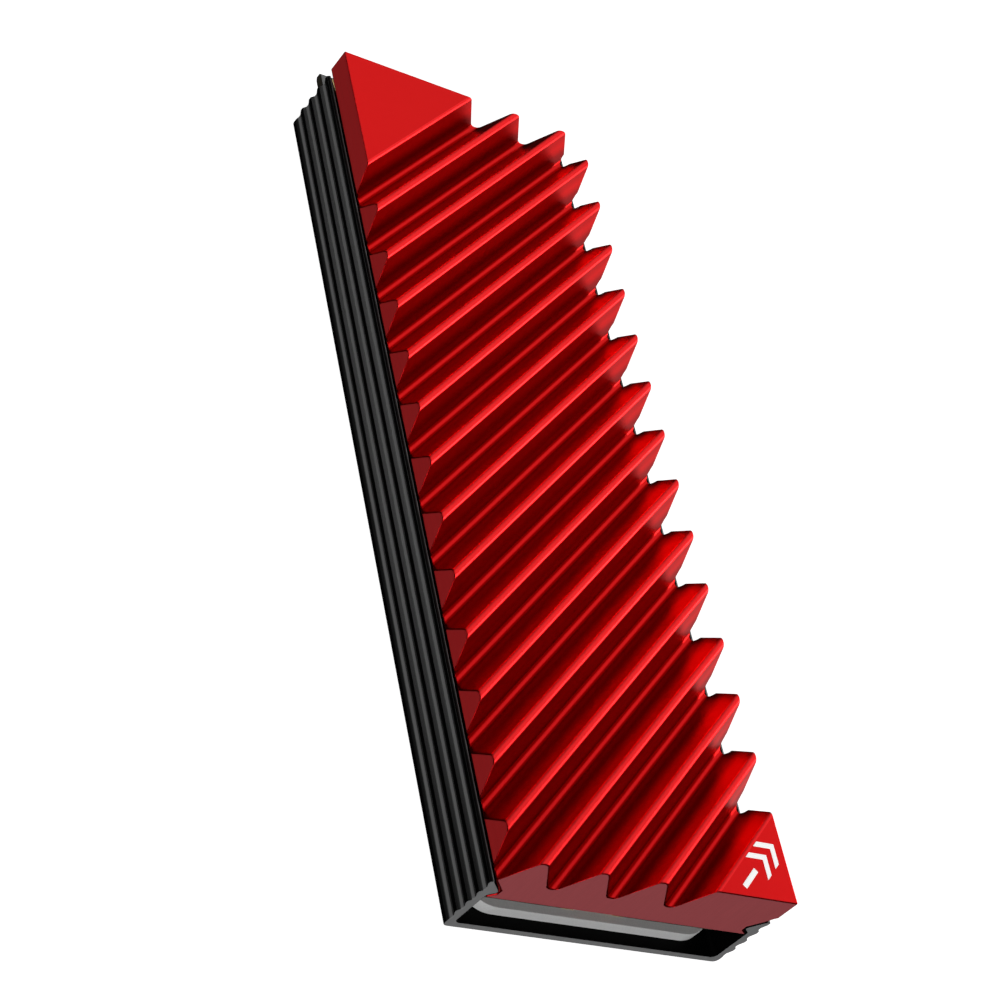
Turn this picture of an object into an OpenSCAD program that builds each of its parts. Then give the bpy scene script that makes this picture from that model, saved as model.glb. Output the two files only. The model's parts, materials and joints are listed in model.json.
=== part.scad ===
// Solid state drive on a narrow card, held in a two-piece aluminium case.
// A black extruded tray carries a red finned heatsink on two lengthwise hooks.
// The card lies between a pad on the tray floor and a pad under the heatsink.
// X runs along the card towards its edge connector, Z is up, and Z = 0 is the tray's underside.
// Origin: the middle of the whole outline, at the underside.

/* [Case] */
// Length of the tray and of the heatsink
case_len = 76.5; // [76:0.1:77]
// Overall width of the case
case_w = 25; // [24.8:0.1:25.4]
// Overall height, from the underside to the fin tips
case_h = 9.3; // [9.2:0.1:9.4]

/* [Tray] */
// Thickness of the tray floor
floor_t = 0.65; // [0.55:0.05:0.65]
// Height of the tray walls
wall_h = 6.4; // [6.35:0.05:6.45]
// How far the rib crests stand in from the heatsink's sides
tray_in = 0.08; // [0:0.01:0.1]
// Distance from the heatsink's side in to the inner face of the wall
wall_t = 0.94; // [0.9:0.01:1]
// Distance from the heatsink's side in to the tip of the hook
hook_reach = 1.5; // [1.45:0.05:1.55]
// Lengthwise ribs on each wall
rib_count = 4; // [4]
// Height from one rib to the next
rib_pitch = 1.36; // [1.33:0.01:1.37]
// Depth of the valleys between the ribs
rib_depth = 0.25; // [0.15:0.01:0.3]

/* [Heatsink] */
// Height of the heatsink's flat underside
sink_bottom = 4.3; // [4.25:0.05:4.35]
// Number of diagonal grooves
groove_count = 16; // [10:1:16]
// Distance from one groove to the next, measured along the case
groove_pitch = 5.1; // [4.9:0.1:5.1]
// Height of the groove bottoms
groove_z = 6.45; // [6.4:0.05:7]
// Width of the flat at a fin tip, square to the fin
fin_tip = 0.5; // [0.3:0.05:0.6]
// Lean of the groove sides away from upright, in degrees
groove_lean = 24.4; // [23:0.1:24.5]
// Length of the plain triangular corner at the open end
corner_leg = 7.55; // [6:0.05:7.6]
// Running gap between the heatsink and the hooks
hook_gap = 0.12; // [0.05:0.01:0.15]

/* [Thermal pads] */
// Thickness of the pad on the tray floor
lower_pad_t = 1; // [0.9:0.05:1]
// Width of the lower pad
lower_pad_w = 22.3; // [20:0.1:22.6]
// Distance from the tray's end to the lower pad
lower_pad_setback = 0.95; // [0.5:0.01:3]
// Corner radius of the lower pad
lower_pad_r = 2.8; // [1:0.1:5]
// Width of the upper pad
upper_pad_w = 20; // [18:0.5:21]
// Length of the upper pad
upper_pad_len = 68; // [60:1:72]
// Corner radius of the upper pad
upper_pad_r = 1; // [0.5:0.1:3]

/* [Card] */
// Length of the card
board_len = 80; // [80]
// Width of the card
board_w = 22; // [22]
// Thickness of the card
board_t = 0.8; // [0.8]
// How far the card's screw end lies inside the open end of the case
board_recess = 1.65; // [1.6:0.05:2]
// Width of the edge connector's tongue
tongue_w = 19.85; // [19.85]
// Length of the tongue
tongue_len = 4; // [4]
// Distance from one contact to the next
contact_pitch = 0.5; // [0.5]
// Width of a contact
contact_w = 0.35; // [0.3:0.01:0.375]
// Length of a contact
contact_len = 2.5; // [2:0.1:2.8]
// Width of the key slot in the tongue
key_w = 1.2; // [1.2]
// Depth of the key slot
key_depth = 3.5; // [3.5]
// Distance of the key slot from the middle of the card
key_offset = 6.125; // [6.125]
// Contacts nearer than this to the middle of the key slot are left out
key_clear = 1; // [1]
// Radius of the half-round screw notch
notch_r = 1.75; // [1.75]
// Radius of the plated land around the notch
land_r = 2.75; // [2.75]

/* [Packages] */
// Height of the controller and memory packages above the card
package_h = 1.15; // [1:0.05:1.15]
// Height of the solder balls under a package
ball_h = 0.2; // [0.15:0.01:0.25]
// Thickness of a package's carrier
carrier_t = 0.25; // [0.2:0.01:0.3]
// Side of the controller package
controller_side = 13; // [11:0.5:13]
// Length of a flash memory package along the card
flash_len = 14; // [11:0.5:14]
// Width of a flash memory package across the card
flash_w = 18; // [12:0.5:18]
// Length of the buffer memory package along the card
buffer_len = 7.5; // [6:0.5:7.5]
// Width of the buffer memory package across the card
buffer_w = 11; // [8:0.5:12]

/* [Hidden] */

// Small clearance that carries a cut right through a face
eps = 0.01;
// Segments of a full circle in an outline
round_fn = 48;

// Places along X
whole_len = board_recess + board_len;
x_open = -whole_len / 2;
x_back = x_open + case_len;
x_tip = whole_len / 2;
x_case_mid = (x_open + x_back) / 2;

// Heights
z_board = floor_t + lower_pad_t;
z_parts = z_board + board_t;
z_pad = z_parts + package_h;

// Tray wall outline, as [distance in from the outside, height]
foot_r = 0.45;
foot_in = 0.25;
foot_top = 0.85;
first_valley_z = 1.1;
valley_land = 0.28;
valley_rise = 0.5;
crest_land = 0.3;
floor_fillet = 0.4;
ridge_in = 0.35;
hook_top_z = 5.25;
hook_tip_z = 5;
hook_root_z = 4.58;

function arc_points(cx, cy, r, from, to, steps = 8) =
    [for (i = [0:steps]) let (a = from + (to - from) * i / steps) [cx + r * cos(a), cy + r * sin(a)]];

// One rib: up the valley's land, out to the crest and along it
function rib_points(i) = let (z = first_valley_z + i * rib_pitch, valley = tray_in + rib_depth)
    [[valley, z], [valley, z + valley_land], [tray_in, z + valley_land + valley_rise],
     [tray_in, z + valley_land + valley_rise + crest_land]];

function tray_side() = concat(
    arc_points(foot_in + foot_r, foot_r, foot_r, 270, 180),
    [[foot_in, foot_top]],
    [for (i = [0:rib_count - 1]) each rib_points(i)],
    [[ridge_in, wall_h], [hook_reach, hook_top_z], [hook_reach, hook_tip_z], [wall_t, hook_root_z]],
    arc_points(wall_t + floor_fillet, floor_t + floor_fillet, floor_fillet, 180, 270));

// Heatsink side outline: the tongue under the hook, the slope above it and the overhanging side
sink_side_z = 7.05;
sink_bevel_z = 6.85;
sink_bevel_in = 0.25;
sink_slope_in = 0.5;
function sink_side() = [
    [wall_t + hook_gap, sink_bottom],
    [wall_t + hook_gap, hook_root_z - hook_gap],
    [hook_reach + hook_gap, hook_tip_z - hook_gap],
    [hook_reach + hook_gap, hook_top_z + hook_gap],
    [sink_slope_in, wall_h + hook_gap + (ridge_in - sink_slope_in) * (wall_h - hook_top_z)
        / (hook_reach - ridge_in) + hook_gap],
    [sink_bevel_in, sink_bevel_z],
    [0, sink_side_z],
    [0, case_h]];

// A side outline and its mirror image, joined across the middle
function both_sides(side) = concat(
    [for (p = side) [case_w / 2 - p[0], p[1]]],
    [for (i = [len(side) - 1:-1:0]) [side[i][0] - case_w / 2, side[i][1]]]);

// Card layout: distance from the connector's tip along the card, and distance across it
power_row = 10.8;
controller_at = [22, 0];
buffer_at = [34, 0];
flash_at = [46.5, 62.5];
small_part = [1, 0.5, 0.5];
small_end = 0.25;
reservoir_size = [3.5, 2.8, 1.05];
reservoir_at = [[73.6, -6.6], [73.6, 6.6]];
inductor_size = [2.5, 2, 1];
inductor_across = [3.1, 0, -3.1];
crystal_at = [18.2, 8.9];
boot_at = [23.6, 8.9];
boot_size = [3, 2, 0.55];
coupling_count = 9;
coupling_row = 5.8;
coupling_step = 1.95;

// Small ceramic capacitors, as [along, across, turn]
capacitor_places = concat(
    [for (i = [0:coupling_count - 1]) [coupling_row, (i - (coupling_count - 1) / 2) * coupling_step, 0]],
    [for (i = [0:8]) [16.4 + 1.4 * i, -8, 90]],
    [for (i = [0:4]) [31.2 + 1.4 * i, -7.4, 90]],
    [for (i = [0:4]) [31.2 + 1.4 * i, 7.4, 90]],
    [for (i = [0:5]) [54.5, -6.5 + 2.6 * i, 90]],
    [for (i = [0:5]) [70.8, -6.5 + 2.6 * i, 90]]);

// Chip resistors, in the same form
resistor_places = concat(
    [for (i = [0:5]) [16.8 + 1.4 * i, -9.7, 90]],
    [for (i = [0:2]) [26.2 + 1.2 * i, 8.9, 90]],
    [for (i = [0:3]) [8, -3.9 + 2.6 * i, 90]]);

module extrude_along_x(length) {
    rotate([90, 0, 90])
        linear_extrude(height = length)
            children();
}

module rounded_outline(length, width, r) {
    square([length - 2 * r, width], center = true);
    square([length, width - 2 * r], center = true);
    for (x = [-1, 1])
        for (y = [-1, 1])
            translate([x * (length / 2 - r), y * (width / 2 - r)])
                circle(r = r, $fn = round_fn);
}

module block(size) {
    translate([-size[0] / 2, -size[1] / 2, 0])
        cube(size);
}

// Puts a component on the card's top face
module on_card(along, across, turn = 0, lift = 0) {
    translate([x_tip - along, across, z_parts + lift])
        rotate([0, 0, turn])
            children();
}

module tray() {
    color("#161616")
        translate([x_open, 0, 0])
            extrude_along_x(case_len)
                polygon(both_sides(tray_side()));
}

module lower_thermal_pad() {
    color("#939693")
        translate([x_case_mid, 0, floor_t])
            linear_extrude(height = lower_pad_t)
                rounded_outline(case_len - 2 * lower_pad_setback, lower_pad_w, lower_pad_r);
}

// Distance of a groove's middle from the origin, square to the fins
function groove_place(i) = (x_open + case_w / 2 - case_w + corner_leg + groove_half() * sqrt(2)
    + i * groove_pitch) / sqrt(2);

// Half the width of a groove at the fin tips
function groove_half() = (groove_pitch / sqrt(2) - fin_tip) / 2;

// Radius of the round groove bottom, which both leaning sides run into
function groove_r() = (groove_half() - tan(groove_lean) * (case_h - groove_z))
    / (cos(groove_lean) - tan(groove_lean) * (1 - sin(groove_lean)));

module groove() {
    above = 1;
    flare = groove_half() + tan(groove_lean) * above;
    rotate([90, 0, 0])
        linear_extrude(height = 2 * (case_len + case_w), center = true)
            polygon(concat([[flare, case_h + above], [-flare, case_h + above]],
                arc_points(0, groove_z + groove_r(), groove_r(), 180 + groove_lean, 360 - groove_lean)));
}

module heatsink() {
    color("#c8191c")
        difference() {
            translate([x_open, 0, 0])
                extrude_along_x(case_len)
                    polygon(both_sides(sink_side()));
            for (i = [0:groove_count - 1])
                rotate([0, 0, 45])
                    translate([groove_place(i), 0, 0])
                        groove();
        }
}

module upper_thermal_pad() {
    color("#8f9294")
        translate([x_case_mid, 0, z_pad])
            linear_extrude(height = sink_bottom - z_pad)
                rounded_outline(upper_pad_len, upper_pad_w, upper_pad_r);
}

// A plain mark along the fins: a bar and two chevrons, in white ink
mark_t = 0.05;
mark_stroke = 0.42;
mark_height = 2.3;
mark_inset = 2.78;
module chevron() {
    reach = mark_height / 2;
    polygon([[0, -reach], [mark_stroke * 1.4, -reach], [reach + mark_stroke * 1.4, 0],
        [mark_stroke * 1.4, reach], [0, reach], [reach, 0]]);
}

module printed_mark() {
    color("white")
        translate([x_open + mark_inset, -case_w / 2 + mark_inset, case_h])
            rotate([0, 0, -45])
                linear_extrude(height = mark_t) {
                    translate([-2.85, -mark_stroke / 2])
                        square([2.1, mark_stroke]);
                    translate([-0.5, 0])
                        chevron();
                    translate([0.95, 0])
                        chevron();
                }
}

module card_outline() {
    difference() {
        union() {
            translate([x_tip - board_len, -board_w / 2])
                square([board_len - tongue_len, board_w]);
            translate([x_tip - tongue_len - eps, -tongue_w / 2])
                square([tongue_len + eps, tongue_w]);
        }
        translate([x_tip - key_depth + key_w / 2, key_offset]) {
            circle(r = key_w / 2, $fn = round_fn);
            translate([0, -key_w / 2])
                square([key_depth, key_w]);
        }
        translate([x_tip - board_len, 0])
            circle(r = notch_r, $fn = round_fn);
    }
}

// Lead-in chamfer along the connector's tip, cut from the top or, with side = -1, from underneath
tip_chamfer = [0.35, 0.15];
module tip_chamfer_cut(side) {
    translate([0, 0, z_board + board_t / 2])
        rotate([90, 0, 0])
            linear_extrude(height = board_w, center = true)
                polygon([[x_tip - tip_chamfer[0], side * (board_t / 2)],
                    [x_tip + eps, side * (board_t / 2 - tip_chamfer[1])],
                    [x_tip + eps, side * (board_t / 2 + eps)],
                    [x_tip - tip_chamfer[0], side * (board_t / 2 + eps)]]);
}

module circuit_board() {
    color("#15181a")
        difference() {
            translate([0, 0, z_board])
                linear_extrude(height = board_t)
                    card_outline();
            land_solid();
            tip_chamfer_cut(1);
            tip_chamfer_cut(-1);
        }
}

// Contacts in a row, leaving out those that the key slot takes away
contact_setback = 0.4;
contact_t = 0.03;
module contact_row(count, z) {
    for (i = [0:count - 1]) {
        across = (i - (count - 1) / 2) * contact_pitch;
        if (abs(across - key_offset) > key_clear)
            translate([x_tip - contact_setback - contact_len, across - contact_w / 2, z])
                cube([contact_len, contact_w, contact_t]);
    }
}

module edge_contacts_top() {
    color("#d9a941")
        contact_row(38, z_parts);
}

module edge_contacts_bottom() {
    color("#d9a941")
        contact_row(37, z_board - contact_t);
}

// Copper around the screw notch: a half ring on each face, joined through the notch
plating_t = 0.035;
module half_disc(r, z, height) {
    translate([x_tip - board_len, 0, z])
        intersection() {
            cylinder(r = r, h = height, $fn = round_fn);
            translate([0, -r, 0])
                cube([r, 2 * r, height]);
        }
}

module land_solid() {
    difference() {
        union() {
            half_disc(land_r, z_board, plating_t);
            half_disc(land_r, z_parts - plating_t, plating_t);
            half_disc(notch_r + plating_t, z_board, board_t);
        }
        translate([x_tip - board_len, 0, z_board - eps])
            cylinder(r = notch_r, h = board_t + 2 * eps, $fn = round_fn);
    }
}

module screw_land() {
    color("#d9b45c")
        land_solid();
}

// A package in three pieces: solder balls, carrier and moulded top
ball_r = 0.25;
module ball_grid(columns, rows, pitch) {
    for (i = [0:columns - 1])
        for (j = [0:rows - 1])
            translate([(i - (columns - 1) / 2) * pitch, (j - (rows - 1) / 2) * pitch, 0])
                cylinder(r = ball_r, h = ball_h, $fn = 24);
}

module carrier(length, width) {
    block([length, width, carrier_t]);
}

module mould(length, width) {
    block([length, width, package_h - ball_h - carrier_t]);
}

mould_lift = ball_h + carrier_t;
// How far a moulded top stands in from its carrier's edge
mould_inset = 0.15;

module controller_balls() {
    color("#c9ccd0")
        on_card(controller_at[0], controller_at[1])
            ball_grid(7, 7, 1.6);
}

module controller_carrier() {
    color("#1d4a2c")
        on_card(controller_at[0], controller_at[1], lift = ball_h)
            carrier(controller_side, controller_side);
}

module controller_mould() {
    color("#222326")
        on_card(controller_at[0], controller_at[1], lift = mould_lift)
            mould(controller_side - 2 * mould_inset, controller_side - 2 * mould_inset);
}

module flash_balls(place) {
    color("#c9ccd0")
        on_card(flash_at[place], 0)
            ball_grid(5, 9, 1.8);
}

module flash_carrier(place) {
    color("#1d4a2c")
        on_card(flash_at[place], 0, lift = ball_h)
            carrier(flash_len, flash_w);
}

module flash_mould(place) {
    color("#1b1b1d")
        on_card(flash_at[place], 0, lift = mould_lift)
            mould(flash_len - 2 * mould_inset, flash_w - 2 * mould_inset);
}

module flash_balls_1() {
    flash_balls(0);
}

module flash_carrier_1() {
    flash_carrier(0);
}

module flash_mould_1() {
    flash_mould(0);
}

module flash_balls_2() {
    flash_balls(1);
}

module flash_carrier_2() {
    flash_carrier(1);
}

module flash_mould_2() {
    flash_mould(1);
}

module buffer_balls() {
    color("#c9ccd0")
        on_card(buffer_at[0], buffer_at[1])
            ball_grid(4, 6, 1.6);
}

module buffer_carrier() {
    color("#1d4a2c")
        on_card(buffer_at[0], buffer_at[1], lift = ball_h)
            carrier(buffer_len, buffer_w);
}

module buffer_mould() {
    color("#1b1b1d")
        on_card(buffer_at[0], buffer_at[1], lift = mould_lift)
            mould(buffer_len - 2 * mould_inset, buffer_w - 2 * mould_inset);
}

module power_controller() {
    color("#202124")
        on_card(power_row, 7.6)
            block([4, 4, 0.75]);
}

module load_switch() {
    color("#202124")
        on_card(power_row, -7.6)
            block([2, 2, 0.6]);
}

// A small memory with four flat leads along each short end
lead_size = [0.45, 0.25, 0.2];
module boot_memory() {
    color("#202124")
        on_card(boot_at[0], boot_at[1])
            block([boot_size[0] - 2 * lead_size[0], boot_size[1], boot_size[2]]);
}

module boot_memory_leads() {
    color("#b9bcc0")
        on_card(boot_at[0], boot_at[1])
            for (end = [-1, 1])
                for (i = [0:3])
                    translate([end * (boot_size[0] - lead_size[0]) / 2, (i - 1.5) * 0.5, 0])
                        block(lead_size);
}

crystal_size = [2.5, 2];
crystal_base_t = 0.3;
module crystal_base() {
    color("#5b4a33")
        on_card(crystal_at[0], crystal_at[1])
            block([crystal_size[0], crystal_size[1], crystal_base_t]);
}

module crystal_lid() {
    color("#c3c6c9")
        on_card(crystal_at[0], crystal_at[1], lift = crystal_base_t)
            block([crystal_size[0] - 0.3, crystal_size[1] - 0.3, 0.3]);
}

// Solder ends wrap a body's two short ends, and the body is what lies between them
module part_body(size, end_len) {
    block([size[0] - 2 * end_len, size[1], size[2]]);
}

module part_ends(size, end_len) {
    for (end = [-1, 1])
        translate([end * (size[0] - end_len) / 2, 0, 0])
            block([end_len, size[1], size[2]]);
}

inductor_end = 0.4;
module inductor_bodies() {
    color("#3f4042")
        for (across = inductor_across)
            on_card(power_row, across)
                part_body(inductor_size, inductor_end);
}

module inductor_terminals() {
    color("#b9bcc0")
        for (across = inductor_across)
            on_card(power_row, across)
                part_ends(inductor_size, inductor_end);
}

reservoir_end = 0.6;
module reservoir_capacitors() {
    color("#34302c")
        for (p = reservoir_at)
            on_card(p[0], p[1])
                part_body(reservoir_size, reservoir_end);
}

module reservoir_terminals() {
    color("#b9bcc0")
        for (p = reservoir_at)
            on_card(p[0], p[1])
                part_ends(reservoir_size, reservoir_end);
}

module ceramic_capacitors() {
    color("#9b7b55")
        for (p = capacitor_places)
            on_card(p[0], p[1], p[2])
                part_body(small_part, small_end);
}

module ceramic_capacitor_ends() {
    color("#c9ccd0")
        for (p = capacitor_places)
            on_card(p[0], p[1], p[2])
                part_ends(small_part, small_end);
}

resistor_part = [1, 0.5, 0.35];
module chip_resistors() {
    color("#111111")
        for (p = resistor_places)
            on_card(p[0], p[1], p[2])
                part_body(resistor_part, small_end);
}

module chip_resistor_ends() {
    color("#c9ccd0")
        for (p = resistor_places)
            on_card(p[0], p[1], p[2])
                part_ends(resistor_part, small_end);
}

tray();
lower_thermal_pad();
heatsink();
upper_thermal_pad();
printed_mark();
circuit_board();
edge_contacts_top();
edge_contacts_bottom();
screw_land();
controller_balls();
controller_carrier();
controller_mould();
flash_balls_1();
flash_carrier_1();
flash_mould_1();
flash_balls_2();
flash_carrier_2();
flash_mould_2();
buffer_balls();
buffer_carrier();
buffer_mould();
power_controller();
load_switch();
boot_memory();
boot_memory_leads();
crystal_base();
crystal_lid();
inductor_bodies();
inductor_terminals();
reservoir_capacitors();
reservoir_terminals();
ceramic_capacitors();
ceramic_capacitor_ends();
chip_resistors();
chip_resistor_ends();
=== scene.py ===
"""The finished look of a card-shaped solid state drive in its ribbed tray and finned heatsink."""
import json
import math

import bmesh
import bpy
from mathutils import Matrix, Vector

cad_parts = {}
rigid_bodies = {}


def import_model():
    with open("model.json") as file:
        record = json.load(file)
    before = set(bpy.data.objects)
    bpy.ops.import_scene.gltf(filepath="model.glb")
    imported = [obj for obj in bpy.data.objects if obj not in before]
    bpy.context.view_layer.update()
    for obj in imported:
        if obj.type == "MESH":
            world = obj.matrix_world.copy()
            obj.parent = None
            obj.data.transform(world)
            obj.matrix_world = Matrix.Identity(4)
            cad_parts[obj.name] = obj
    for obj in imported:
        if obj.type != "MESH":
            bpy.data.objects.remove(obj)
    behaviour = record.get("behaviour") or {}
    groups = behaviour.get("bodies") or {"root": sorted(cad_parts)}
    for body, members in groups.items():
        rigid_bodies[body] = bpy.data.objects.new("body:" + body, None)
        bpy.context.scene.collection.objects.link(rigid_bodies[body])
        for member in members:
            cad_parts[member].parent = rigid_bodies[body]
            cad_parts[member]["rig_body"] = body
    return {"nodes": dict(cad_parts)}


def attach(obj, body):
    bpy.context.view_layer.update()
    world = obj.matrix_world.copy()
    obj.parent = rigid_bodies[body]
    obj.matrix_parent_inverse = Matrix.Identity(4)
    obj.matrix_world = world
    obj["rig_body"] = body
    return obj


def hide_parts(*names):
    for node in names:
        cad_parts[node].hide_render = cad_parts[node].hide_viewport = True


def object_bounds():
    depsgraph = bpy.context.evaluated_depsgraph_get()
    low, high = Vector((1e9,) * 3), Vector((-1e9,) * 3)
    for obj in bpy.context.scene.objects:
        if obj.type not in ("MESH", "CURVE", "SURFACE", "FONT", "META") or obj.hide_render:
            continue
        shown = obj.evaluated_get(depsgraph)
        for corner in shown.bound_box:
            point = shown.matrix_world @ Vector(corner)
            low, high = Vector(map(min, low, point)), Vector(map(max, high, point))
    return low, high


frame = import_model()
cad_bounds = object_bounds()

MM = 0.001
scene = bpy.context.scene

CAMERA_LENS_MM = 86.738
CAMERA_PLACE_MM = (-112.377, 104.745, 118.471)
CAMERA_TURN_DEG = (42.761, -33.834, -102.698)

# Lamps: name, direction from the drive, distance (m), width and height (m), brightness of the surface.
LAMPS = (
    ("light_far_right", (0.576, -0.549, 0.605), 0.42, (0.40, 0.24), 1.25),
    ("light_right", (0.155, -0.965, 0.209), 0.42, (0.22, 0.20), 2.2),
    ("light_right_core", (0.187, -0.933, 0.305), 0.40, (0.08, 0.08), 9.0),
    ("light_low_right", (0.228, -0.893, -0.389), 0.42, (0.30, 0.26), 0.9),
    ("light_far", (0.94, -0.185, 0.285), 0.42, (0.14, 0.14), 0.8),
    ("light_far_left", (0.573, 0.65, 0.50), 0.42, (0.16, 0.16), 2.6),
    ("light_open_end", (-0.90, 0.35, 0.30), 0.84, (0.60, 0.52), 3.9),
)
WORLD_BRIGHTNESS = 0.012
FLOOR_HALF_SIZE = 3.0
FLOOR_GAP_MM = 0.02

# How far each metal edge is rounded, in millimetres.
FIN_TIP_ROUNDING = 0.22
HEATSINK_ROUNDING = 0.08
TRAY_ROUNDING = 0.045

# Angles in degrees: the step between faces below which they are level, and above which an edge is sharp.
LEVEL_STEP = 0.5
SHARP_STEP = 25
METAL_SHARP_STEP = 20

# The share of a face's unit normal along an axis, above which the face counts as square to that axis.
SQUARE = 0.99


# ---------------------------------------------------------------- camera, light and floor

def link(obj):
    scene.collection.objects.link(obj)
    return obj


def make_camera():
    data = bpy.data.cameras.new("camera")
    data.sensor_width = 36
    data.lens = CAMERA_LENS_MM
    data.clip_start = 0.005
    data.clip_end = 20
    camera = link(bpy.data.objects.new("camera", data))
    camera.location = Vector(CAMERA_PLACE_MM) * MM
    camera.rotation_euler = [math.radians(turn) for turn in CAMERA_TURN_DEG]
    scene.camera = camera


def make_lamp(name, toward, distance, size, radiance):
    """A rectangular lamp of a set brightness, facing the drive from the given direction."""
    low, high = cad_bounds
    middle = (low + high) / 2
    direction = Vector(toward).normalized()
    data = bpy.data.lights.new(name, "AREA")
    data.shape = "RECTANGLE"
    data.size, data.size_y = size
    data.energy = radiance * math.pi * size[0] * size[1]
    lamp = link(bpy.data.objects.new(name, data))
    lamp.location = middle + direction * distance
    lamp.rotation_euler = (-direction).to_track_quat("-Z", "Y").to_euler()


def make_world():
    world = bpy.data.worlds.new("studio")
    world.use_nodes = True
    background = world.node_tree.nodes["Background"]
    background.inputs["Color"].default_value = (1, 1, 1, 1)
    background.inputs["Strength"].default_value = WORLD_BRIGHTNESS
    scene.world = world


def make_floor():
    """A pale sheet just under the drive, which neither shades nor lights it."""
    mesh = bpy.data.meshes.new("floor")
    bm = bmesh.new()
    bmesh.ops.create_grid(bm, x_segments=2, y_segments=2, size=FLOOR_HALF_SIZE)
    bm.to_mesh(mesh)
    bm.free()
    floor = link(bpy.data.objects.new("floor", mesh))
    floor.location.z = cad_bounds[0].z - FLOOR_GAP_MM * MM
    floor.data.materials.append(floor_paint())
    floor.visible_glossy = False
    floor.visible_diffuse = False
    floor.visible_shadow = False


# ---------------------------------------------------------------- material building blocks

class Paint:
    """A node material round one Principled shader, with its constants set on the shader's own sockets."""

    def __init__(self, name, roughness=0.5, metallic=0.0, **sockets):
        self.material = bpy.data.materials.new(name)
        self.material.use_nodes = True
        self.tree = self.material.node_tree
        self.shader = self.tree.nodes["Principled BSDF"]
        self.set("Roughness", roughness)
        self.set("Metallic", metallic)
        for key, value in sockets.items():
            self.set(key.replace("_", " "), value)

    def set(self, socket, value):
        self.shader.inputs[socket].default_value = value

    def node(self, kind, inputs=(), **settings):
        """A new node, with each input linked to a socket or set to a value."""
        made = self.tree.nodes.new(kind)
        for key, value in settings.items():
            setattr(made, key, value)
        for key, value in dict(inputs).items():
            if isinstance(value, bpy.types.NodeSocket):
                self.tree.links.new(value, made.inputs[key])
            else:
                made.inputs[key].default_value = value
        return made

    def position(self, stretch=(1, 1, 1)):
        """The point on the object, in metres, stretched along each axis."""
        where = self.node("ShaderNodeTexCoord").outputs["Object"]
        return self.node("ShaderNodeMapping", {"Vector": where, "Scale": stretch}).outputs["Vector"]

    def place(self):
        """The point's X, Y and Z as separate outputs."""
        return self.node("ShaderNodeSeparateXYZ", {"Vector": self.position()}).outputs

    def noise(self, per_mm, stretch=(1, 1, 1), detail=3):
        """Cloudy noise with about per_mm blobs to the millimetre."""
        return self.node("ShaderNodeTexNoise", {
            "Vector": self.position(stretch), "Scale": per_mm / MM, "Detail": detail, "Roughness": 0.55,
        }).outputs["Fac"]

    def ramp(self, factor, stops):
        """Colours along a ramp, as (place, colour)."""
        made = self.node("ShaderNodeValToRGB", {"Fac": factor})
        elements = made.color_ramp.elements
        while len(elements) < len(stops):
            elements.new(0.5)
        for element, (place, color) in zip(elements, stops):
            element.position = place
            element.color = (*color, 1)
        return made.outputs["Color"]

    def spread(self, factor, low, high, start=0.0, stop=1.0):
        """The factor carried over from the range start to stop onto the range low to high."""
        return self.node("ShaderNodeMapRange", {
            "Value": factor, "From Min": start, "From Max": stop, "To Min": low, "To Max": high,
        }).outputs["Result"]

    def reckon(self, operation, first, second):
        return self.node("ShaderNodeMath", {0: first, 1: second}, operation=operation).outputs["Value"]

    def join(self, socket, output):
        self.tree.links.new(output, self.shader.inputs[socket])

    def bump(self, height, depth_mm):
        made = self.node("ShaderNodeBump", {"Height": height, "Strength": 1.0, "Distance": depth_mm * MM})
        self.join("Normal", made.outputs["Normal"])

    def grain(self, pattern, roughness, depth_mm):
        """Lets one pattern vary the roughness, from low to high, and the height of the surface."""
        self.join("Roughness", self.spread(pattern, *roughness))
        self.bump(pattern, depth_mm)


def shade(color, factor):
    return tuple(channel * factor for channel in color)


def grey(level):
    return (level, level, level)


def cloudy(paint, color, factor, low=0.9, high=1.1):
    """A base colour that drifts a little darker and lighter over the surface."""
    paint.join("Base Color", paint.ramp(factor, [(0.3, shade(color, low)), (0.7, shade(color, high))]))


# ---------------------------------------------------------------- materials

def floor_paint():
    """White paper under its own even light."""
    paint = Paint("floor_paint", roughness=0.9, Emission_Color=(1, 1, 1, 1), Emission_Strength=0.9)
    cloudy(paint, grey(0.86), paint.noise(0.02), 0.995, 1.005)
    return paint.material


def red_anodised(bottom, top):
    """Red anodised groove sides with painted shade and highlight by height: painted darkest just above the
    bright line along each groove's bottom, painted lightest a little above halfway up.
    """
    paint = Paint("red_anodised", roughness=0.34, metallic=1.0, Specular_Tint=(1, 0.2, 0.2, 1),
                  Coat_Weight=0.14, Coat_Roughness=0.3)
    height = paint.spread(paint.place()["Z"], 0, 1, start=bottom, stop=top)
    red = (0.62, 0.004, 0.006)
    # Painted shade and highlight: each stop darkens or lightens the red by its share of the groove's height.
    painted_light_by_height = ((0.0, 1), (0.013, 1), (0.035, 0.34), (0.16, 0.34), (0.31, 0.55),
                 (0.47, 1.05), (0.6, 1.2), (0.72, 1.05), (0.95, 0.8), (0.99, 1))
    stops = [(place, shade(red, painted_factor)) for place, painted_factor in painted_light_by_height]
    paint.join("Base Color", paint.ramp(height, stops))
    paint.grain(paint.noise(9, detail=2), (0.31, 0.37), 0.003)
    return paint.material


def red_crest():
    """The fin tips, painted paler than the groove red as a painted highlight."""
    paint = Paint("red_crest", roughness=0.32, metallic=1.0, Specular_Tint=(1, 0.4, 0.4, 1),
                  Coat_Weight=0.22, Coat_Roughness=0.3)
    mottle = paint.noise(1.5)
    # Painted highlight: a paler red than the grooves, so the tips look lit.
    cloudy(paint, (0.80, 0.008, 0.010), mottle, 0.95, 1.05)
    paint.grain(mottle, (0.3, 0.36), 0.003)
    return paint.material


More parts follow.
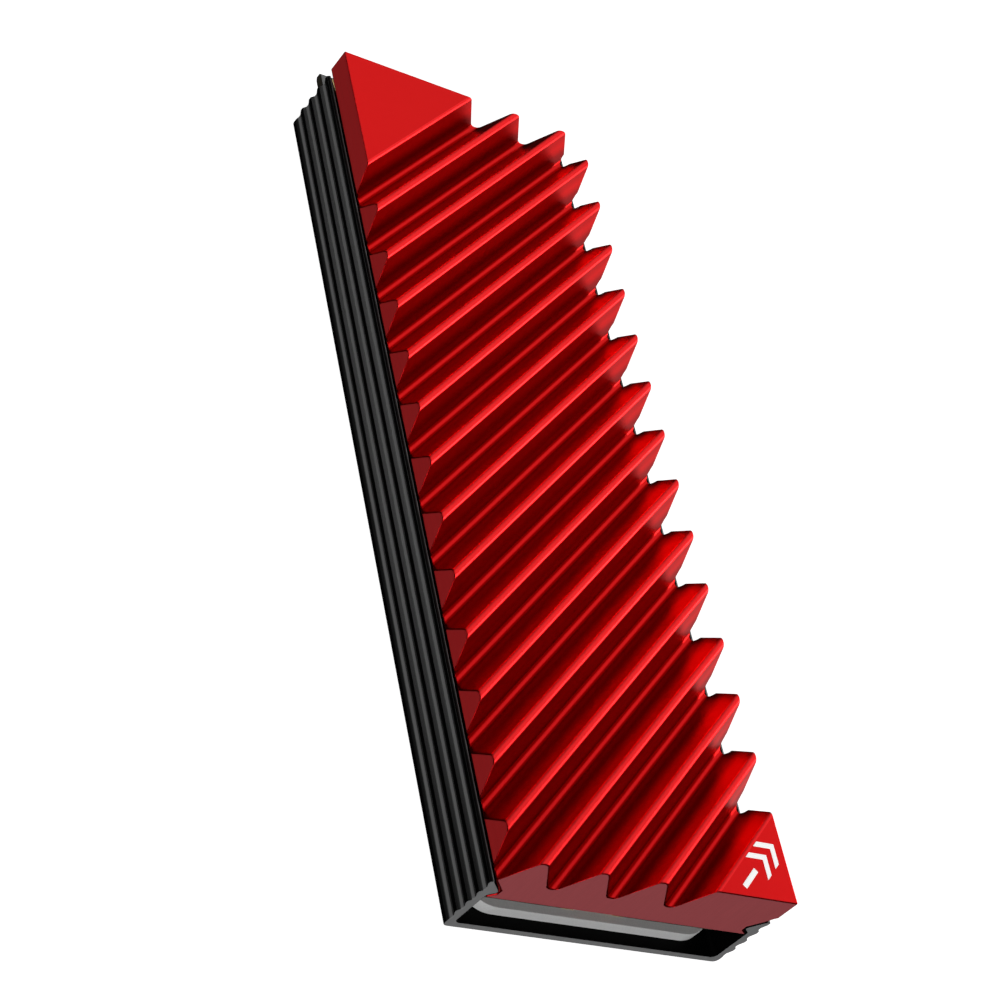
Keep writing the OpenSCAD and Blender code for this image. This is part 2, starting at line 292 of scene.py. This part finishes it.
def red_side():
    """The extruded side faces: a matte copy of the red, coloured apart from the rest to set how bright the
    sides look in this light (painted light), with faint lengthwise die lines.
    """
    paint = Paint("red_side", roughness=0.5, Specular_IOR_Level=0.2)
    lines = paint.noise(6, stretch=(0.02, 1, 1), detail=4)
    # Painted light: this red is set apart from the groove red to fix how bright the sides look.
    cloudy(paint, (0.78, 0.033, 0.036), lines, 0.95, 1.05)
    paint.grain(lines, (0.45, 0.6), 0.005)
    return paint.material


def red_cut():
    """The sawn ends: flatter, with fine upright saw marks; the red is painted greyer and paler as a painted
    reflection of pale light.
    """
    paint = Paint("red_cut", roughness=0.6, Specular_IOR_Level=0.2)
    marks = paint.noise(7, stretch=(1, 1, 0.05), detail=4)
    # Painted reflection: the red is greyed and paled as if pale light were mirrored in it.
    cloudy(paint, (0.49, 0.10, 0.11), marks, 0.95, 1.05)
    paint.grain(marks, (0.5, 0.68), 0.005)
    return paint.material


def black_anodised(half_width):
    """Deep black on the ribs' crests and the foot, with a painted highlight: grey painted on the sides of the
    valleys between the ribs.
    """
    rib_depth = 0.5 * MM
    foot_top, highlight_start = 0.55 * MM, 0.72 * MM
    paint = Paint("black_anodised", roughness=0.26, Specular_IOR_Level=0.22)
    place = paint.place()
    across = paint.reckon("ABSOLUTE", place["Y"], 0.0)
    depth = paint.spread(across, 1, 0, start=half_width - rib_depth, stop=half_width)
    above_foot = paint.spread(place["Z"], 0, 1, start=foot_top, stop=highlight_start)
    # Painted highlight: grey painted on the valley sides between the ribs, standing in for light caught
    # there.
    painted_highlight = paint.reckon("MULTIPLY", depth, above_foot)
    black, highlight_grey = (0.0004, 0.0004, 0.0005), grey(0.31)
    paint.join("Base Color", paint.ramp(painted_highlight, [
        (0.0, black), (0.12, black), (0.30, grey(0.008)), (0.42, grey(0.035)),
        (0.49, highlight_grey), (0.62, highlight_grey), (0.72, black)]))
    paint.grain(paint.noise(5, stretch=(0.015, 1, 1), detail=5), (0.22, 0.32), 0.003)
    return paint.material


def black_inside():
    """The tray's inner faces, which hardly any light reaches: a duller copy of the black with almost no
    reflection, as painted shade.
    """
    paint = Paint("black_inside", roughness=0.6, Specular_IOR_Level=0.05)
    lines = paint.noise(5, stretch=(0.015, 1, 1), detail=4)
    cloudy(paint, (0.0012, 0.0012, 0.0013), lines, 0.8, 1.2)
    paint.grain(lines, (0.5, 0.7), 0.004)
    return paint.material


def black_cut():
    """The tray's sawn ends: bare grey metal with fine upright saw marks."""
    paint = Paint("black_cut", roughness=0.55, Specular_IOR_Level=0.3)
    marks = paint.noise(7, stretch=(1, 1, 0.05), detail=4)
    cloudy(paint, (0.27, 0.27, 0.272), marks, 0.92, 1.08)
    paint.grain(marks, (0.45, 0.65), 0.006)
    return paint.material


def pad_rubber():
    paint = Paint("pad_rubber", roughness=0.62)
    speckle = paint.noise(8, detail=4)
    cloudy(paint, (0.72, 0.725, 0.72), speckle, 0.94, 1.05)
    paint.grain(speckle, (0.55, 0.72), 0.02)
    return paint.material


def white_ink():
    # Painted glow: the print gives off light of its own, so it stays bright whatever light falls on it.
    paint = Paint("white_ink", roughness=0.5, Emission_Color=(1, 1, 1, 1), Emission_Strength=0.55)
    speckle = paint.noise(14)
    cloudy(paint, (0.9, 0.9, 0.88), speckle, 0.95, 1.03)
    paint.grain(speckle, (0.42, 0.6), 0.004)
    return paint.material


def solder_mask():
    """Glossy black mask over copper tracks, which show as slightly raised, slightly paler lines."""
    paint = Paint("solder_mask", roughness=0.28, Coat_Weight=0.5, Coat_Roughness=0.12)
    tracks = paint.node("ShaderNodeTexBrick", {
        "Vector": paint.position(), "Scale": 0.16 / MM, "Mortar Size": 0.012, "Mortar Smooth": 0.2,
        "Color1": (0, 0, 0, 1), "Color2": (0, 0, 0, 1), "Mortar": (1, 1, 1, 1),
        "Brick Width": 0.9, "Row Height": 0.13,
    }).outputs["Color"]
    paint.join("Base Color", paint.ramp(tracks, [(0.0, (0.007, 0.009, 0.010)), (1.0, (0.014, 0.019, 0.021))]))
    paint.bump(tracks, 0.02)
    return paint.material


def laminate_edge():
    """The sawn rim of the card, where the glass layers show."""
    paint = Paint("laminate_edge", roughness=0.75)
    layers = paint.noise(3, stretch=(0.2, 0.2, 4))
    dark, pale = (0.035, 0.030, 0.022), (0.075, 0.064, 0.043)
    paint.join("Base Color", paint.ramp(layers, [(0.35, dark), (0.65, pale)]))
    paint.bump(layers, 0.01)
    return paint.material


def gold():
    paint = Paint("gold", roughness=0.22, metallic=0.6)
    mottle = paint.noise(3, stretch=(0.25, 1, 1), detail=4)
    cloudy(paint, (0.86, 0.60, 0.24), mottle, 0.92, 1.06)
    paint.grain(mottle, (0.15, 0.32), 0.004)
    return paint.material


def tin():
    paint = Paint("tin", roughness=0.3, metallic=0.6)
    crystals = paint.noise(10)
    cloudy(paint, (0.66, 0.67, 0.69), crystals, 0.9, 1.08)
    paint.grain(crystals, (0.22, 0.42), 0.006)
    return paint.material


def carrier_laminate():
    paint = Paint("carrier_laminate", roughness=0.4)
    weave = paint.noise(5, stretch=(1, 1, 3))
    cloudy(paint, (0.02, 0.085, 0.036), weave, 0.8, 1.2)
    paint.grain(weave, (0.34, 0.5), 0.006)
    return paint.material


def mould_compound(name, color):
    paint = Paint(name, roughness=0.6)
    speckle = paint.noise(16)
    cloudy(paint, color, speckle, 0.8, 1.25)
    paint.grain(speckle, (0.5, 0.7), 0.01)
    return paint.material


def ceramic(name, color, roughness):
    paint = Paint(name, roughness=roughness)
    speckle = paint.noise(10)
    cloudy(paint, color, speckle, 0.85, 1.12)
    paint.grain(speckle, (roughness - 0.08, roughness + 0.08), 0.004)
    return paint.material


def brushed_lid():
    paint = Paint("brushed_lid", roughness=0.25, metallic=1.0)
    brush = paint.noise(8, stretch=(0.08, 1, 1))
    cloudy(paint, (0.7, 0.71, 0.73), brush, 0.93, 1.05)
    paint.grain(brush, (0.18, 0.35), 0.004)
    return paint.material


# ---------------------------------------------------------------- shaping the CAD's forms

def body_of_node(node):
    return frame["nodes"][node]["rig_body"]


def node_bmesh(node):
    """The node's form as clean flat faces: the CAD's triangles joined wherever they are level."""
    bm = bmesh.new()
    bm.from_mesh(frame["nodes"][node].data)
    bmesh.ops.remove_doubles(bm, verts=bm.verts, dist=0.0005 * MM)
    bmesh.ops.dissolve_limit(bm, angle_limit=math.radians(LEVEL_STEP), verts=bm.verts, edges=bm.edges)
    return bm


def finish_piece(node, bm, materials, pick=None):
    """Makes the piece that stands for a node, riding on the node's own body.

    pick says which of the materials a face has. Without it every face has the first.
    """
    for face in bm.faces:
        face.smooth = True
        face.material_index = materials.index(pick(face)) if pick else 0
    mesh = bpy.data.meshes.new(node + "_finished")
    bm.to_mesh(mesh)
    bm.free()
    piece = link(bpy.data.objects.new(node + "_finished", mesh))
    for material in materials:
        mesh.materials.append(material)
    normals = piece.modifiers.new("even_normals", "WEIGHTED_NORMAL")
    normals.keep_sharp = True
    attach(piece, body_of_node(node))
    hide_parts(node)


def sharp_edges(bm, step=SHARP_STEP):
    limit = math.radians(step)
    return [e for e in bm.edges if len(e.link_faces) == 2 and e.calc_face_angle(0) > limit]


def round_edges(bm, edges, width_mm, segments=2, clamp=True):
    bmesh.ops.bevel(bm, geom=edges, offset=width_mm * MM, offset_type="OFFSET", segments=segments,
                    profile=0.5, affect="EDGES", clamp_overlap=clamp)


def softened(node, width_mm, materials, pick=None):
    """The piece for a node whose sharp edges are rounded by one width."""
    bm = node_bmesh(node)
    round_edges(bm, sharp_edges(bm), width_mm)
    finish_piece(node, bm, materials, pick)


def is_end(face):
    return abs(face.normal.x) > SQUARE


def is_side(face):
    return abs(face.normal.y) > SQUARE


def leans(face):
    """Whether a face is a groove's side."""
    least = 0.3
    return abs(face.normal.x) > least and abs(face.normal.y) > least


def is_crest(edge):
    """Whether an edge lies between a level fin tip and a leaning groove side."""
    first, second = edge.link_faces
    return (leans(first) and second.normal.z > SQUARE) or (leans(second) and first.normal.z > SQUARE)


# ---------------------------------------------------------------- pieces

def make_heatsink():
    bm = node_bmesh("heatsink")
    bottom = min(v.co.z for face in bm.faces if leans(face) for v in face.verts)
    top = max(v.co.z for v in bm.verts)
    tip_depth = 0.25 * MM
    tip_lean = 0.45
    largest_tip = 22 * MM * MM
    crests = [e for e in sharp_edges(bm, METAL_SHARP_STEP) if is_crest(e)]
    round_edges(bm, crests, FIN_TIP_ROUNDING, segments=4, clamp=False)
    round_edges(bm, sharp_edges(bm, METAL_SHARP_STEP), HEATSINK_ROUNDING, clamp=False)
    groove, side, cut, crest = red_anodised(bottom, top), red_side(), red_cut(), red_crest()

    # Each kind of face takes its own copy of the red: painted light on the sides, a painted reflection on the
    # sawn ends, a painted highlight on the fin tips, painted shade and highlight on the groove sides.
    def pick(face):
        if is_end(face):
            return cut
        if is_side(face):
            return side
        near_top = face.calc_center_median().z > top - tip_depth and face.normal.z > tip_lean
        return crest if near_top and face.calc_area() < largest_tip else groove

    finish_piece("heatsink", bm, [groove, side, cut, crest], pick)


def make_tray():
    bm = node_bmesh("tray")
    half_width = max(v.co.y for v in bm.verts)
    outer_skin = 0.6 * MM
    underside = 0.1 * MM
    round_edges(bm, sharp_edges(bm, METAL_SHARP_STEP), TRAY_ROUNDING, segments=3)
    outside, cut, inside = black_anodised(half_width), black_cut(), black_inside()

    # The inner faces take a duller, barely reflecting copy of the black as painted shade.
    def pick(face):
        if is_end(face):
            return cut
        middle = face.calc_center_median()
        return inside if middle.z > underside and abs(middle.y) < half_width - outer_skin else outside

    finish_piece("tray", bm, [outside, cut, inside], pick)


def make_pads():
    rubber = pad_rubber()
    for node in ("lower_thermal_pad", "upper_thermal_pad"):
        softened(node, 0.08, [rubber])


def make_card():
    mask, rim = solder_mask(), laminate_edge()

    def pick(face):
        return mask if abs(face.normal.z) > 0.7 else rim

    softened("circuit_board", 0.03, [mask, rim], pick)
    plating = gold()
    for node in ("edge_contacts_top", "edge_contacts_bottom", "screw_land"):
        softened(node, 0.01, [plating])


def make_packages():
    laminate = carrier_laminate()
    compound = mould_compound("mould_compound", (0.016, 0.016, 0.018))
    solder = tin()
    for package in ("controller_{}", "flash_{}_1", "flash_{}_2", "buffer_{}"):
        softened(package.format("carrier"), 0.02, [laminate])
        softened(package.format("mould"), 0.06, [compound])
        softened(package.format("balls"), 0.06, [solder])


def make_small_parts():
    compound = mould_compound("small_mould", (0.020, 0.020, 0.023))
    solder = tin()
    for node, width, material in (
            ("power_controller", 0.04, compound),
            ("load_switch", 0.04, compound),
            ("boot_memory", 0.04, compound),
            ("boot_memory_leads", 0.03, solder),
            ("crystal_base", 0.03, ceramic("crystal_ceramic", (0.16, 0.11, 0.07), 0.6)),
            ("crystal_lid", 0.06, brushed_lid()),
            ("inductor_bodies", 0.06, ceramic("ferrite", (0.05, 0.05, 0.055), 0.55)),
            ("inductor_terminals", 0.05, solder),
            ("reservoir_capacitors", 0.06, ceramic("reservoir_case", (0.05, 0.04, 0.03), 0.5)),
            ("reservoir_terminals", 0.05, solder),
            ("ceramic_capacitors", 0.03, ceramic("capacitor_ceramic", (0.33, 0.19, 0.09), 0.45)),
            ("ceramic_capacitor_ends", 0.04, solder),
            ("chip_resistors", 0.03, ceramic("resistor_glaze", (0.01, 0.01, 0.011), 0.3)),
            ("chip_resistor_ends", 0.04, solder)):
        softened(node, width, [material])


def make_mark():
    softened("printed_mark", 0.012, [white_ink()])


make_camera()
for lamp_row in LAMPS:
    make_lamp(*lamp_row)
make_world()
make_floor()
make_heatsink()
make_tray()
make_pads()
make_card()
make_packages()
make_small_parts()
make_mark()

scene.view_settings.view_transform = "Standard"
